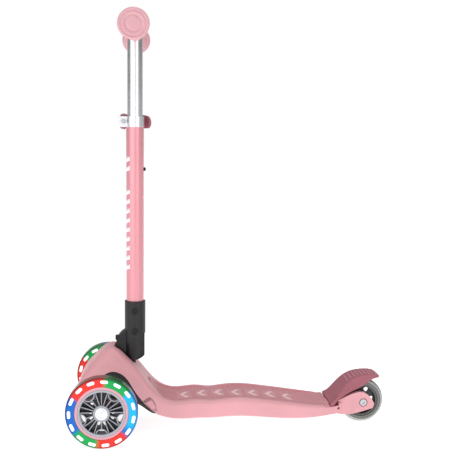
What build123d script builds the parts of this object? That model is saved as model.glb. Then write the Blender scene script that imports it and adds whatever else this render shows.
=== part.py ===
from build123d import *
from math import cos, radians, sin
import os

# Folding three-wheel kick scooter for a small child, steered by leaning.
# Millimetres. +X is forward, +Y is the rider's left, +Z is up.
# The origin is on the floor, under the middle of the scooter's length.

os.makedirs("parts", exist_ok=True)

# --- driving dimensions ----------------------------------------------------

wheelbase = 464.0
front_tyre_r = 60.0
front_tyre_w = 24.0
rear_tyre_r = 40.0
rear_tyre_w = 26.0
track = 244.0                 # between the front wheels' middle planes

deck_half_w = 56.0
tread_half_w = 43.0
tread_t = 4.0
deck_wall = 3.2
hood_wall = 3.0
hood_crown = 7.0              # extra thickness over the hollow, met on the slopes

tbar_set_back = 52.6          # steering column behind the front axle
pivot_offset = 4.5            # fold pin ahead of the column's axis
pivot_h = 147.0
knuckle_r = 30.5              # sweep of the fold joint about its pin
socket_r = 18.5
socket_top_h = 225.0
tube_seat_h = 184.0
lower_tube_r = 15.5
lower_tube_wall = 1.5
lower_tube_top_h = 531.0
upper_tube_r = 13.3
upper_tube_wall = 1.4
upper_tube_low_h = 372.0
bar_h = 694.0                 # handlebar axis
bar_half_w = 128.0
bar_r = 11.0
grip_r = 15.0
grip_disc_r = 26.0
height_step = 50.0            # between the column's three heights
snap_h = 458.0                # snap button at the middle height

steer_pivot_half = 86.0       # kingpins from the middle plane
kingpin_r = 4.0
kingpin_tilt = 20.0           # degrees, top leaning to the rear
arm_len = 24.0                # kingpin to tie-rod pin
axle_r = 4.0
bearing_r = 11.0
bearing_w = 7.0
rear_axle_r = 4.0

running = 0.05                # radial clearance of a turning fit
slip = 0.3                    # clearance between neighbours that move
seat = 0.05                   # clearance of pieces that are fitted together

# --- places worked out from them -------------------------------------------

front_axle_x = (wheelbase + rear_tyre_r - front_tyre_r) / 2
rear_axle_x = front_axle_x - wheelbase
tbar_x = front_axle_x - tbar_set_back
pivot_x = tbar_x + pivot_offset
wheel_y = track / 2
half_wheel = front_tyre_w / 2


def export(part, name):
    """Label a finished piece and write it under its node name."""
    part.label = name
    export_step(part, f"parts/{name}.step")


def behind(s):
    """X of a place that lies s millimetres behind the front axle."""
    return front_axle_x - s


def upright(y):
    """Plane parallel to XZ at height zero, its normal towards -Y."""
    return Plane.XZ.offset(-y)


def front_hub(side, out=0.0):
    """Plane across a front wheel, out millimetres outside its middle."""
    return Plane(
        origin=(front_axle_x, side * (wheel_y + out), front_tyre_r),
        x_dir=(-side, 0, 0),
        z_dir=(0, side, 0),
    )


def rear_hub(y=0.0):
    """Plane across the rear wheel at y."""
    return Plane(origin=(rear_axle_x, y, rear_tyre_r), x_dir=(-1, 0, 0), z_dir=(0, 1, 0))


def tube_between(plane, outer, inner, length):
    """A ring or bush that stands on a plane."""
    with BuildPart() as ring:
        with BuildSketch(plane):
            Circle(outer)
            if inner:
                Circle(inner, mode=Mode.SUBTRACT)
        extrude(amount=length)
    return ring.part


# --- deck shell --------------------------------------------------------------
# Each station: distance behind the front axle, underside height, top height,
# half width at the underside, half width at the top, top corner radius.

stations = [
    (424, 21.0, 43.0, 26.0, 29.0, 5.0),
    (400, 21.0, 41.5, 36.0, 41.0, 5.0),
    (370, 20.5, 42.5, 46.0, 51.0, 5.0),
    (330, 20.5, 47.5, 50.0, 55.0, 5.0),
    (275, 24.0, 55.0, 50.0, deck_half_w, 5.5),
    (220, 26.0, 57.5, 50.0, deck_half_w, 6.0),
    (165, 24.0, 56.0, 50.0, deck_half_w, 6.0),
    (130, 23.0, 53.5, 50.0, deck_half_w, 6.0),
    (108, 26.0, 57.0, 50.0, deck_half_w, 7.0),
    (90, 32.0, 68.5, 51.0, 55.0, 9.0),
    (70, 43.0, 92.0, 55.0, 51.0, 13.0),
    (50, 56.0, 117.0, 61.0, 45.0, 19.0),
    (30, 60.0, 137.0, 67.0, 39.0, 24.0),
    (13, 60.0, 146.0, 70.0, 35.0, 26.0),
    (-5, 59.0, 138.0, 70.0, 36.0, 26.0),
    (-25, 58.0, 117.0, 65.0, 40.0, 24.0),
    (-42, 57.0, 91.0, 54.0, 40.0, 14.0),
    (-53, 56.0, 64.0, 40.0, 36.0, 3.5),
]


def section(station, inset=0.0, drop=0.0, sink=0.0):
    """Rounded trapezium across the deck, shrunk inwards and opened below."""
    s, low, top, half_low, half_top, corner = station
    flare = (half_low - half_top) / (top - low)
    half_low += flare * sink - inset
    half_top += flare * (inset + drop) - inset
    low, top = low - sink, top - inset - drop
    with BuildSketch(Plane.YZ.offset(behind(s))) as outline:
        with BuildLine():
            Polyline(
                (-half_low, low), (half_low, low), (half_top, top), (-half_top, top), close=True
            )
        make_face()
        fillet(outline.vertices().group_by(Axis.Y)[-1], max(corner - inset, 1.0))
        fillet(outline.vertices().group_by(Axis.Y)[0], 1.0)
    return outline.sketch


def hull(first, last, inset=0.0, drop=0.0, sink=0.0):
    """Smooth body through some of the deck's stations."""
    outlines = [section(station, inset, drop, sink) for station in stations[first:last]]
    with BuildPart() as body:
        loft([outline.face() for outline in outlines])
    return body.part


# The hood's front stations are closed by a wall, so the hollow ends short.
hood_first = 9
hollow_end = len(stations) - 1
fork_inner = rear_tyre_w / 2 + 4.0
fork_outer = fork_inner + 10.0
arch = [
    (91, 33), (81, 41), (70, 52), (60, 64.5), (50, 79), (39, 96),
    (25.5, 106), (12, 108), (-1, 102), (-15, 90), (-28, 74), (-36, 57),
]

tread_line = [
    (412, 42.0), (400, 40.0), (364, 40.5), (330, 44.5), (310, 48.0), (275, 52.0),
    (220, 54.5), (165, 53.0), (130, 50.5), (108, 53.0), (94, 62.0), (84, 74.0), (77, 86.0),
]


def tread_profile(low, high, first=1):
    """Side view of a layer that follows the tread, between two depths."""
    line = [(behind(s), h) for s, h in tread_line[first:]]
    with BuildSketch(Plane.XZ) as side:
        with BuildLine():
            top = Spline([(x, h + high) for x, h in line])
            bottom = Spline([(x, h + low) for x, h in line])
            Line(top @ 0, bottom @ 0)
            Line(top @ 1, bottom @ 1)
        make_face()
    return side.sketch


def tread_outline(grow=0.0):
    """Top view of the tread: straight sides, drawn in to a rounded nose."""
    half = tread_half_w + grow
    with BuildSketch(Plane.XY) as top:
        with BuildLine():
            Polyline((behind(399 + grow), -half), (behind(130), -half))
            Spline(
                (behind(130), -half), (behind(100), -half + 6), (behind(78 - grow), 0),
                (behind(100), half - 6), (behind(130), half),
                tangents=[(1, 0), (-1, 0)],
            )
            Polyline((behind(130), half), (behind(399 + grow), half))
            Line((behind(399 + grow), half), (behind(399 + grow), -half))
        make_face()
    return top.sketch


def tread_body(low, high, grow=0.0, first=1):
    with BuildPart() as body:
        extrude(tread_profile(low, high, first), amount=deck_half_w, both=True)
        extrude(tread_outline(grow), amount=160.0, mode=Mode.INTERSECT)
    return body.part


def arm_profile():
    """Side view of one fork arm, from the deck's tail to behind the rear axle."""
    with BuildSketch(Plane.XZ) as side:
        with BuildLine():
            Spline(
                (behind(415), 43), (behind(431), 51), (behind(445), 56.5),
                (behind(462), 59.0), (behind(474), 52.0), (behind(484), 37.0),
            )
            Line((behind(484), 37.0), (behind(481), 29.5))
            Spline((behind(481), 29.5), (behind(458), 22.5), (behind(440), 19.0), (behind(415), 21.0))
            Line((behind(415), 21.0), (behind(415), 43))
        make_face()
    return side.sketch



knuckle_slot = socket_r + slip + 0.2
pin_r = 4.0
pin_half = 15.2               # the fold pin ends inside the socket's cheeks
tongue_half = 9.5
tongue_foot_h = 92.0
tail_h = 36.0                 # seat of the brake's root on the deck's tail
brake_pin_x = behind(418.0)
brake_pin_h = 31.0
cover_screws = [
    (behind(s), y) for s in (29.0, -6.0) for y in (45.0, -45.0)
]

kingpin_dir = Vector(-sin(radians(kingpin_tilt)), 0, cos(radians(kingpin_tilt)))
boss_h = 12.0                 # half height of a knuckle's boss
ear_t = 6.0
ear_r = 11.5
box_half = 60.0
rod_level = 12.3              # tie rod above the axle, along the kingpin
rod_t = 4.5
floor_h = 48.0


housing_gap = hood_wall + slip
housing_wall = 2.5
box_back = 40.0               # box of the linkage, behind and ahead of the front axle
box_front = 14.0
box_mid = front_axle_x - (box_back - box_front) / 2
box_len = box_back + box_front
box_roof_h = 84.0
spring_x = front_axle_x - 30.5
spring_h = 74.0
spring_half = 33.0            # outer ends of the centring springs
lug_t = 4.0

# --- deck ---------------------------------------------------------------------

# The hollow under the deck is lofted through every station, so that it follows
# the outside, and is then cut off where the hood begins.

with BuildPart() as underside_hollow:
    add(hull(1, hollow_end, deck_wall, 6.0, 6.0))
    with BuildSketch(Plane.YZ.offset(behind(430))):
        Rectangle(4 * deck_half_w, 400)
    extrude(amount=430 - stations[hood_first][0], mode=Mode.INTERSECT)

with BuildPart() as deck:
    add(hull(0, len(stations)))
    add(underside_hollow.part, mode=Mode.SUBTRACT)
    add(hull(hood_first, hollow_end, hood_wall, hood_crown, 8.0), mode=Mode.SUBTRACT)
    with BuildSketch(Plane.XZ):
        with BuildLine():
            Spline([(behind(s), h) for s, h in arch])
            Line((behind(arch[-1][0]), arch[-1][1]), (behind(-36), 0))
            Line((behind(-36), 0), (behind(arch[0][0]), 0))
            Line((behind(arch[0][0]), 0), (behind(arch[0][0]), arch[0][1]))
        make_face()
    extrude(amount=track / 2, both=True, mode=Mode.SUBTRACT)
    for edge in (1, -1):
        with BuildSketch(upright(edge * fork_outer)):
            add(arm_profile())
        extrude(amount=edge * (fork_outer - fork_inner))
    with BuildSketch(Plane.XY.offset(10)):
        with Locations((behind(446), 0)):
            Rectangle(2 * 52.0, 2 * fork_inner)
    extrude(amount=60, mode=Mode.SUBTRACT)
    with BuildSketch(upright(0)):
        with Locations((rear_axle_x, rear_tyre_r)):
            Circle(rear_axle_r + seat)
        with Locations((brake_pin_x, brake_pin_h)):
            Circle(2.5 + seat)
    extrude(amount=60, both=True, mode=Mode.SUBTRACT)
    for edge in (1, -1):
        with BuildSketch(upright(edge * fork_outer)):
            with Locations((rear_axle_x, rear_tyre_r)):
                Circle(7.5)
        extrude(amount=edge * 2.5, mode=Mode.SUBTRACT)
    with BuildSketch(upright(0)):
        with Locations((pivot_x, pivot_h)):
            Circle(knuckle_r + 1.0)
    extrude(amount=knuckle_slot, both=True, mode=Mode.SUBTRACT)
    add(tread_body(-tread_t, 60.0, seat), mode=Mode.SUBTRACT)
    with BuildSketch(Plane.XY.offset(tongue_foot_h - 20)):
        with Locations((pivot_x + 13, 0)):
            Rectangle(37.0, 2 * (tongue_half + seat))
    extrude(amount=80, mode=Mode.SUBTRACT)
    with BuildSketch(Plane.XY.offset(floor_h - 3)):
        with Locations((box_mid, 0)):
            Rectangle(box_len + 2 * slip, 2 * (box_half + slip))
    extrude(amount=box_roof_h - floor_h + 3 + slip, mode=Mode.SUBTRACT)
    with BuildSketch(Plane.XY.offset(tail_h)):
        with Locations((behind(408.5), 0)):
            Rectangle(19.0, 2 * 42.0)
    extrude(amount=30, mode=Mode.SUBTRACT)

export(deck.part, "deck")

with BuildPart() as deck_tread:
    add(tread_body(-tread_t, 0.0))

export(deck_tread.part, "deck_tread")

# Black housing of the steering, seen through the arches of the hood.

def kingpin_plane(side, along=0.0):
    """Plane square to a kingpin; local x points forwards, y to the rider's left."""
    origin = Vector(front_axle_x, side * steer_pivot_half, front_tyre_r) + kingpin_dir * along
    ahead = Vector(cos(radians(kingpin_tilt)), 0, sin(radians(kingpin_tilt)))
    return Plane(origin=origin, x_dir=ahead, z_dir=kingpin_dir)


with BuildPart() as steering_housing:
    add(hull(hood_first, hollow_end, housing_gap, hood_crown + slip))
    add(
        hull(hood_first, hollow_end, housing_gap + housing_wall,
             hood_crown + slip + housing_wall, 8.0),
        mode=Mode.SUBTRACT,
    )
    with BuildSketch(Plane.XY.offset(floor_h)):
        with Locations((box_mid, 0)):
            Rectangle(box_len, 2 * box_half)
    extrude(amount=box_roof_h - floor_h)
    with BuildSketch(Plane.XY.offset(floor_h - 1)):
        with Locations((box_mid, 0)):
            Rectangle(box_len - 2 * housing_wall, 2 * (box_half - housing_wall))
    extrude(amount=box_roof_h - floor_h + 1 - housing_wall, mode=Mode.SUBTRACT)
    with BuildSketch(Plane.XY.offset(box_roof_h - 0.5)):
        with Locations((pivot_x + 13, 0)):
            Rectangle(36.0, 2 * tongue_half + 6)
    extrude(amount=tongue_foot_h - box_roof_h + 0.5)
    for side in (1, -1):
        with BuildSketch(upright(side * spring_half)):
            with Locations((spring_x, spring_h + 3.5)):
                Rectangle(9.0, 14.6)
        extrude(amount=-side * lug_t)
        for level in (boss_h + slip, -boss_h - slip - ear_t):
            with BuildSketch(kingpin_plane(side, level)):
                Circle(ear_r)
                with Locations((0, -side * (steer_pivot_half - box_half) / 2)):
                    Rectangle(2 * ear_r, steer_pivot_half - box_half + 1.0)
            extrude(amount=ear_t)
        with BuildSketch(kingpin_plane(side, -30)):
            Circle(kingpin_r + seat)
        extrude(amount=60, mode=Mode.SUBTRACT)
        with BuildSketch(upright(side * (box_half + 14.0))):
            with Locations((spring_x + 3.0, spring_h - 9.0)):
                Rectangle(19.0, 18.0)
        extrude(amount=side * 19.0, mode=Mode.SUBTRACT)
    with BuildSketch(upright(0)):
        with Locations((pivot_x, pivot_h)):
            Circle(knuckle_r + 1.0)
    extrude(amount=knuckle_slot, both=True, mode=Mode.SUBTRACT)
    with BuildSketch(Plane.XY.offset(tongue_foot_h)):
        with Locations((pivot_x + 13, 0)):
            Rectangle(37.0, 2 * (tongue_half + seat))
    extrude(amount=60, mode=Mode.SUBTRACT)

export(steering_housing.part, "steering_housing")

# Kingpins through the housing's ears, one group of two.

with BuildPart() as kingpins:
    for side in (1, -1):
        reach = boss_h + slip + ear_t
        with BuildSketch(kingpin_plane(side, -reach)):
            Circle(kingpin_r)
        extrude(amount=2 * reach)
        for level in (-reach - 2.5, reach):
            with BuildSketch(kingpin_plane(side, level)):
                Circle(kingpin_r + 3.0)
            extrude(amount=2.5)

export(kingpins.part, "kingpins")

# Bottom cover of the housing, held by four screws.

cover_t = 2.5
screw_r = 1.6
boss_r = 4.0

with BuildPart() as housing_cover:
    with BuildSketch(Plane.XY.offset(floor_h - cover_t)):
        with Locations((box_mid, 0)):
            RectangleRounded(box_len, 2 * box_half - 2.0, 2)
    extrude(amount=cover_t)
    with BuildSketch(Plane.XY.offset(floor_h)):
        with Locations(cover_screws):
            Circle(boss_r)
    extrude(amount=8.0)
    with BuildSketch(Plane.XY.offset(floor_h - cover_t)):
        with Locations(cover_screws):
            Circle(screw_r + seat)
    extrude(amount=12.0, mode=Mode.SUBTRACT)

export(housing_cover.part, "housing_cover")

with BuildPart() as cover_screw_set:
    for x, y in cover_screws:
        with BuildSketch(Plane.XY.offset(floor_h - cover_t - 1.8)):
            with Locations((x, y)):
                Circle(3.0)
        extrude(amount=1.8)
        with BuildSketch(Plane.XY.offset(floor_h - cover_t)):
            with Locations((x, y)):
                Circle(screw_r)
        extrude(amount=10.0)

export(cover_screw_set.part, "cover_screws")

# --- steering knuckles, tie rod and springs --------------------------------------

stub_r = 9.0
hub_inset = half_wheel + 2.0   # stub ends this far inside the wheel's middle plane
arm_t = 4.0
rod_pin_r = 3.0
rod_tab = 6.0                 # tab on the rod that the springs bear on


def steering_knuckle(side):
    """Boss on the kingpin, stub for the wheel's axle and arm for the tie rod."""
    with BuildPart() as knuckle:
        with BuildSketch(kingpin_plane(side, -boss_h)):
            Circle(9.5)
        extrude(amount=2 * boss_h)
        with BuildSketch(upright(side * steer_pivot_half)):
            with Locations((front_axle_x, front_tyre_r)):
                Circle(stub_r)
        extrude(amount=-side * (wheel_y - hub_inset - steer_pivot_half))
        with BuildSketch(kingpin_plane(side, rod_level - slip - arm_t)):
            with Locations((-arm_len / 2, 0)):
                SlotCenterToCenter(arm_len, 13.0)
        extrude(amount=arm_t)
        with BuildSketch(kingpin_plane(side, rod_level - slip)):
            with Locations((-arm_len, 0)):
                Circle(rod_pin_r)
        extrude(amount=rod_t + 2 * slip)
        with BuildSketch(kingpin_plane(side, rod_level + rod_t + slip)):
            with Locations((-arm_len, 0)):
                Circle(rod_pin_r + 2.0)
        extrude(amount=1.8)
        with BuildSketch(kingpin_plane(side, -boss_h - 5)):
            Circle(kingpin_r + 1.5 + seat)
        extrude(amount=2 * boss_h + 10, mode=Mode.SUBTRACT)
        with BuildSketch(upright(side * (steer_pivot_half + 7.0))):
            with Locations((front_axle_x, front_tyre_r)):
                Circle(axle_r + seat)
        extrude(amount=-side * 40.0, mode=Mode.SUBTRACT)
    return knuckle.part


def kingpin_bush(side):
    """Plastic bush pressed into the boss, turning on the kingpin."""
    return tube_between(
        kingpin_plane(side, -boss_h), kingpin_r + 1.5, kingpin_r + running, 2 * boss_h
    )


with BuildPart() as tie_rod:
    with BuildSketch(kingpin_plane(1, rod_level)) as rod_shape:
        with Locations((-arm_len, -steer_pivot_half)):
            Rectangle(9.0, 2 * steer_pivot_half)
        with Locations((-arm_len, 0), (-arm_len, -2 * steer_pivot_half)):
            Circle(6.0)
        with Locations((-arm_len, 0), (-arm_len, -2 * steer_pivot_half)):
            Circle(rod_pin_r + running, mode=Mode.SUBTRACT)
    extrude(amount=rod_t)
    with BuildSketch(kingpin_plane(1, rod_level + rod_t)):
        with Locations((-arm_len, -steer_pivot_half)):
            Rectangle(9.0, rod_tab)
    extrude(amount=10.0)

export(tie_rod.part, "tie_rod")

with BuildPart() as centring_springs:
    for side in (1, -1):
        with BuildSketch(upright(side * rod_tab / 2)):
            with Locations((spring_x, spring_h)):
                Circle(3.3)
                Circle(2.3, mode=Mode.SUBTRACT)
        extrude(amount=-side * (spring_half - rod_tab / 2))

export(centring_springs.part, "centring_springs")

# --- front wheels ----------------------------------------------------------------

window_count = 15
window_ring_r = 53.5
window_len = 12.5
window_w = 5.0
ring_r = 45.0
rim_r = 39.7
rim_inner_r = 36.0
hub_r = 13.6
spokes = 5
bearing_gap = 1.5             # half the distance between a wheel's two bearings
cap_r = 10.3
web_low = -3.0                # inner face of the core's web from its middle plane
web_t = 4.0
rib_top = 9.0
rib_w = 1.5
arch_r = 9.5


def windows(side, length, grow=0.0):
    """Fifteen light guides that run across the tyre, round its flanks."""
    with BuildPart() as bars:
        with BuildSketch(front_hub(side, -length / 2)):
            with PolarLocations(window_ring_r, window_count, start_angle=85):
                SlotOverall(window_len + 2 * grow, window_w + 2 * grow, rotation=90)
        extrude(amount=length)
    return bars.part


def front_tyre(side):
    with BuildPart() as tyre:
        with BuildSketch(front_hub(side, -half_wheel)):
            Circle(front_tyre_r)
            Circle(ring_r, mode=Mode.SUBTRACT)
        extrude(amount=front_tyre_w)
        outer = tyre.edges().filter_by(GeomType.CIRCLE).group_by(SortBy.RADIUS)[-1]
        fillet(outer, 3.6)
        add(windows(side, 2 * front_tyre_w, seat), mode=Mode.SUBTRACT)
    return tyre.part


def trim_ring(side):
    with BuildPart() as ring:
        add(tube_between(front_hub(side, -half_wheel + 1.0), ring_r - seat, rim_r + seat,
                         front_tyre_w - 2.0))
        chamfer(ring.edges().filter_by(GeomType.CIRCLE), 0.8)
    return ring.part


def web_holes(side):
    """Openings right through the core: a half-moon at the rim and two by its stem."""
    with BuildSketch(front_hub(side, web_low)) as holes:
        with PolarLocations(rim_inner_r, spokes, start_angle=90 + 180 / spokes):
            Ellipse(arch_r - rib_w, arch_r - rib_w / 2)
        Circle(rim_inner_r, mode=Mode.INTERSECT)
        for flank in (12.5, -12.5):
            with PolarLocations(hub_r + 6.2, spokes, start_angle=90 + 180 / spokes + flank):
                SlotOverall(8.6, 4.0, rotation=1.6 * flank)
    return holes.sketch


def rim_arches(side):
    """Raised arches of the core, round the half-moon openings at the rim."""
    with BuildSketch(front_hub(side, web_low)) as arches:
        with PolarLocations(rim_inner_r, spokes, start_angle=90 + 180 / spokes):
            Ellipse(arch_r, arch_r + rib_w / 2)
            Ellipse(arch_r - rib_w, arch_r - rib_w / 2, mode=Mode.SUBTRACT)
        Circle(rim_inner_r + 0.5, mode=Mode.INTERSECT)
    return arches.sketch


def ribs(side):
    """Raised straight lines of the core: spokes, their flanks and the arches' stems."""
    reach = rim_inner_r - hub_r + 1.0
    mid = (rim_inner_r + hub_r) / 2
    with BuildSketch(front_hub(side, web_low)) as lines:
        with PolarLocations(mid, spokes, start_angle=90):
            Rectangle(reach, rib_w)
        for flank in (1, -1):
            with PolarLocations(mid, spokes, start_angle=90 + flank * 15.5):
                Rectangle(reach, rib_w, rotation=flank * 3.0)
        with PolarLocations((hub_r + rim_inner_r - arch_r) / 2, spokes, start_angle=90 + 180 / spokes):
            Rectangle(rim_inner_r - arch_r - hub_r + 1.0, rib_w)
    return lines.sketch


def wheel_core(side):
    """Grey core: rim, recessed web with raised ribs, hub and bearing seats."""
    with BuildPart() as core:
        with BuildSketch(front_hub(side, -half_wheel + 1.0)):
            Circle(rim_r)
            Circle(rim_inner_r, mode=Mode.SUBTRACT)
        extrude(amount=front_tyre_w - 2.0)
        with BuildSketch(front_hub(side, web_low)):
            Circle(rim_inner_r + 0.5)
        extrude(amount=web_t)
        extrude(web_holes(side), amount=web_t, mode=Mode.SUBTRACT)
        extrude(ribs(side), amount=rib_top - web_low)
        extrude(rim_arches(side), amount=rib_top - web_low)
        with BuildSketch(front_hub(side, -half_wheel + 1.0)):
            Circle(hub_r)
        extrude(amount=front_tyre_w)
        with BuildSketch(front_hub(side, -half_wheel)):
            Circle(bearing_r)
        extrude(amount=front_tyre_w + 4.0, mode=Mode.SUBTRACT)
        with BuildSketch(front_hub(side, -bearing_gap)):
            Circle(bearing_r + 1.0)
            Circle(axle_r + 4.0, mode=Mode.SUBTRACT)
        extrude(amount=2 * bearing_gap)
    return core.part


def bearing_pair(hub, fixed_r):
    """Two ball bearings, drawn as solid rings, either side of the core's inner rib."""
    with BuildPart() as pair:
        for low in (bearing_gap, -bearing_gap - bearing_w):
            with BuildSketch(hub(low)):
                Circle(bearing_r)
                Circle(fixed_r + running, mode=Mode.SUBTRACT)
            extrude(amount=bearing_w)
    return pair.part


def light_coil(side):
    """Coil and lamp ring carried round the hub, fed by the magnet on the stub."""
    return tube_between(front_hub(side, -9.5), hub_r + 4.0, hub_r + seat, 6.0)


def magnet_ring(side):
    return tube_between(front_hub(side, -hub_inset), stub_r + 2.5, axle_r + seat, 1.8)


def front_axle(side):
    """Shoulder bolt through the bearings into the knuckle's stub."""
    head = bearing_gap + bearing_w
    with BuildPart() as bolt:
        with BuildSketch(front_hub(side, head)):
            Circle(7.0)
        extrude(amount=2.6)
        fillet(bolt.edges().filter_by(GeomType.CIRCLE).sort_by(Axis.Y)[-1 if side > 0 else 0], 1.0)
        with BuildSketch(front_hub(side, head)):
            Circle(axle_r)
        extrude(amount=-(wheel_y + head - steer_pivot_half - 8.0))
        with BuildSketch(front_hub(side, head + 2.6)):
            RegularPolygon(2.5, 6)
        extrude(amount=-1.6, mode=Mode.SUBTRACT)
    return bolt.part


def hub_cap(side):
    """Domed disc that closes the hub."""
    with BuildPart() as cap:
        with BuildSketch(front_hub(side, half_wheel - 0.2)):
            Circle(cap_r + 0.6)
        extrude(amount=2.0)
        front = cap.faces().sort_by(Axis.Y)[-1 if side > 0 else 0]
        fillet(front.edges(), 1.4)
    return cap.part


for side, hand in ((1, "left"), (-1, "right")):
    export(steering_knuckle(side), f"{hand}_steering_knuckle")
    export(kingpin_bush(side), f"{hand}_kingpin_bush")
    export(magnet_ring(side), f"{hand}_magnet_ring")
    export(front_axle(side), f"{hand}_front_axle")
    export(front_tyre(side), f"{hand}_front_tyre")
    export(windows(side, front_tyre_w + 0.6), f"{hand}_light_windows")
    export(trim_ring(side), f"{hand}_trim_ring")
    export(wheel_core(side), f"{hand}_wheel_core")
    export(bearing_pair(lambda out: front_hub(side, out), axle_r), f"{hand}_wheel_bearings")
    export(light_coil(side), f"{hand}_light_coil")
    export(hub_cap(side), f"{hand}_hub_cap")

# --- rear wheel --------------------------------------------------------------------

rear_rim_r = 29.0

with BuildPart() as rear_tyre:
    with BuildSketch(rear_hub(-rear_tyre_w / 2)):
        Circle(rear_tyre_r)
        Circle(rear_rim_r + seat, mode=Mode.SUBTRACT)
    extrude(amount=rear_tyre_w)
    fillet(rear_tyre.edges().filter_by(GeomType.CIRCLE).group_by(SortBy.RADIUS)[-1], 7.0)

export(rear_tyre.part, "rear_tyre")

with BuildPart() as rear_core:
    with BuildSketch(rear_hub(-rear_tyre_w / 2 + 1.5)):
        Circle(rear_rim_r)
        Circle(rear_rim_r - 3.5, mode=Mode.SUBTRACT)
    extrude(amount=rear_tyre_w - 3.0)
    with BuildSketch(rear_hub(-bearing_gap - bearing_w - 1.0)):
        Circle(hub_r)
    extrude(amount=2 * (bearing_gap + bearing_w + 1.0))
    with BuildSketch(rear_hub(-3.0)):
        Circle(rear_rim_r - 3.0)
        with PolarLocations(19.5, 6):
            Circle(4.6, mode=Mode.SUBTRACT)
    extrude(amount=6.0)
    with BuildSketch(rear_hub(-rear_tyre_w / 2)):
        Circle(bearing_r)
    extrude(amount=rear_tyre_w, mode=Mode.SUBTRACT)
    with BuildSketch(rear_hub(-bearing_gap)):
        Circle(bearing_r + 1.0)
        Circle(axle_r + 4.0, mode=Mode.SUBTRACT)
    extrude(amount=2 * bearing_gap)

export(rear_core.part, "rear_wheel_core")
export(bearing_pair(rear_hub, rear_axle_r), "rear_wheel_bearings")

with BuildPart() as rear_spacers:
    gap = fork_inner - bearing_gap - bearing_w
    for low in (bearing_gap + bearing_w, -fork_inner):
        add(tube_between(rear_hub(low), rear_axle_r + 2.5, rear_axle_r + seat, gap))

export(rear_spacers.part, "rear_axle_spacers")

with BuildPart() as rear_axle:
    with BuildSketch(rear_hub(fork_outer - 2.5)):
        Circle(6.5)
    extrude(amount=3.2)
    fillet(rear_axle.edges().filter_by(GeomType.CIRCLE).sort_by(Axis.Y)[-1], 1.2)
    with BuildSketch(rear_hub(fork_outer + 0.7)):
        RegularPolygon(2.8, 6)
    extrude(amount=-2.0, mode=Mode.SUBTRACT)
    with BuildSketch(rear_hub(fork_outer - 2.5)):
        Circle(rear_axle_r)
    extrude(amount=-2 * fork_outer)

export(rear_axle.part, "rear_axle")

with BuildPart() as rear_axle_nut:
    with BuildSketch(rear_hub(-fork_outer + 2.5)):
        RegularPolygon(6.5, 6)
        Circle(rear_axle_r + seat, mode=Mode.SUBTRACT)
    extrude(amount=-5.0)

export(rear_axle_nut.part, "rear_axle_nut")

# --- rear brake ----------------------------------------------------------------------

brake_t = 4.0
skirt_t = 3.0
brake_line = [
    (401, 43.0), (409, 47.5), (416, 55.5), (424, 66.0), (434, 76.5),
    (446, 84.5), (460, 88.5), (473, 90.0), (484, 90.0), (493, 87.5), (497.5, 83.0),
]
skirt_line = [
    (401, 37.0), (408, 39.5), (415, 45.5), (422, 50.0), (431, 55.0),
    (445, 61.5), (462, 69.0), (480, 80.5), (497.5, 81.0),
]


def brake_side(drop, low_line):
    """Side view of the fender between its crown and a lower line."""
    with BuildSketch(Plane.XZ) as side_view:
        with BuildLine():
            over = Spline([(behind(s), h - drop) for s, h in brake_line])
            under = Spline([(behind(s), h) for s, h in low_line])
            Line(over @ 0, under @ 0)
            Line(over @ 1, under @ 1)
        make_face()
    return side_view.sketch


def brake_outline(inset):
    """Top view of the fender, tapering to a round tip."""
    with BuildSketch(Plane.XY) as top_view:
        with BuildLine():
            half = [(399.5, 41.0), (413, 36.0), (428, 29.5), (448, 25.0), (480, 21.0)]
            for edge in (1, -1):
                Spline(
                    [(behind(s), edge * (w - inset)) for s, w in half]
                    + [(behind(498 - inset), 0)],
                    tangents=[(-1, -edge * 0.3), (0, -edge)],
                )
            Line((behind(399.5), 41.0 - inset), (behind(399.5), inset - 41.0))
        make_face()
    return top_view.sketch


with BuildPart() as under_brake:
    extrude(brake_side(brake_t, [(s, h - 30) for s, h in skirt_line]), amount=deck_half_w, both=True)
    extrude(brake_outline(skirt_t), amount=120, mode=Mode.INTERSECT)

with BuildPart() as rear_brake:
    extrude(brake_side(0.0, skirt_line), amount=deck_half_w, both=True)
    extrude(brake_outline(0.0), amount=120, mode=Mode.INTERSECT)
    add(under_brake.part, mode=Mode.SUBTRACT)
    for edge in (1, -1):
        with BuildSketch(upright(edge * (fork_inner - slip))):
            with BuildLine():
                Polyline(
                    (brake_pin_x - 5.5, brake_pin_h), (brake_pin_x + 1.0, brake_pin_h - 5.0),
                    (brake_pin_x + 6.5, brake_pin_h), (brake_pin_x + 6.0, 48.0),
                    (brake_pin_x - 4.0, 60.0), close=True,
                )
            make_face()
        extrude(amount=edge * 3.0)
    with BuildSketch(upright(0)):
        with Locations((brake_pin_x, brake_pin_h)):
            Circle(2.5 + running)
    extrude(amount=60, both=True, mode=Mode.SUBTRACT)

export(rear_brake.part, "rear_brake")

with BuildPart() as brake_pin:
    with BuildSketch(upright(fork_outer - 4)):
        with Locations((brake_pin_x, brake_pin_h)):
            Circle(2.5)
    extrude(amount=2 * (fork_outer - 4))

export(brake_pin.part, "brake_pin")

with BuildPart() as brake_spring:
    with BuildSketch(upright(8)):
        with Locations((brake_pin_x, brake_pin_h)):
            Circle(4.2)
            Circle(3.0, mode=Mode.SUBTRACT)
    extrude(amount=16)

export(brake_spring.part, "brake_spring")

# --- fold joint ---------------------------------------------------------------------------

tongue_r = 29.0
button_r = 5.0
button_h = 158.0
button_travel = 4.0

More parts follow.
